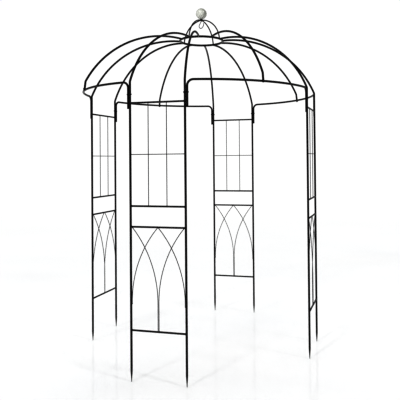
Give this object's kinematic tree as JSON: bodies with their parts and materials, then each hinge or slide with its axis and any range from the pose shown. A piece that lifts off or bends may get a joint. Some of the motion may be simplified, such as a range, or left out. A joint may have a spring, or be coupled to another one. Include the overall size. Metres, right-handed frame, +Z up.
{
  "type": "garden trellis pavilion",
  "caption": "Round free-standing garden trellis pavilion of black steel tube: open doorways between trellis panels, arches, a ribbed dome, a crown ring, a ball finial and a hanging hook.",
  "frame": {"origin": "on the ground plane of the spike tips, on the vertical axis through the crown", "axes": "+Z up; -Y is the front doorway; the four doorways face -Y, +X, +Y and -X, the trellis panels stand on the diagonals between them"},
  "size_m": [2.1002, 2.1002, 2.9685],
  "materials": {
    "frame_coat": "satin black powder coat",
    "fasteners": "blackened steel",
    "hook_zinc": "zinc plated, dull",
    "ball_glass": "frosted crackle glass"
  },
  "bodies": {
    "frame": {"arch_back": "frame_coat", "arch_back_left_bolt": "fasteners", "arch_back_left_nut": "fasteners", "arch_back_right_bolt": "fasteners", "arch_back_right_nut": "fasteners", "arch_front": "frame_coat", "arch_front_left_bolt": "fasteners", "arch_front_left_nut": "fasteners", "arch_front_right_bolt": "fasteners", "arch_front_right_nut": "fasteners", "arch_left": "frame_coat", "arch_left_left_bolt": "fasteners", "arch_left_left_nut": "fasteners", "arch_left_right_bolt": "fasteners", "arch_left_right_nut": "fasteners", "arch_right": "frame_coat", "arch_right_left_bolt": "fasteners", "arch_right_left_nut": "fasteners", "arch_right_right_bolt": "fasteners", "arch_right_right_nut": "fasteners", "crown": "frame_coat", "crown_ring": "frame_coat", "finial_ball": "ball_glass", "finial_collar": "frame_coat", "lower_panel_back_left": "frame_coat", "lower_panel_back_right": "frame_coat", "lower_panel_front_left": "frame_coat", "lower_panel_front_right": "frame_coat", "mid_rib_back": "frame_coat", "mid_rib_back_bolt": "fasteners", "mid_rib_back_nut": "fasteners", "mid_rib_front": "frame_coat", "mid_rib_front_bolt": "fasteners", "mid_rib_front_nut": "fasteners", "mid_rib_left": "frame_coat", "mid_rib_left_bolt": "fasteners", "mid_rib_left_nut": "fasteners", "mid_rib_right": "frame_coat", "mid_rib_right_bolt": "fasteners", "mid_rib_right_nut": "fasteners", "post_rib_back_left_left": "frame_coat", "post_rib_back_left_right": "frame_coat", "post_rib_back_right_left": "frame_coat", "post_rib_back_right_right": "frame_coat", "post_rib_front_left_left": "frame_coat", "post_rib_front_left_right": "frame_coat", "post_rib_front_right_left": "frame_coat", "post_rib_front_right_right": "frame_coat", "upper_panel_back_left": "frame_coat", "upper_panel_back_right": "frame_coat", "upper_panel_front_left": "frame_coat", "upper_panel_front_right": "frame_coat"},
    "hook": {"hook": "hook_zinc"}
  },
  "joints": [
    {"name": "hook_swivel", "type": "hinge", "parent": "frame", "child": "hook", "pos_m": [0, 0, 2.864], "axis": [0, 0, 1], "continuous": true}
  ]
}
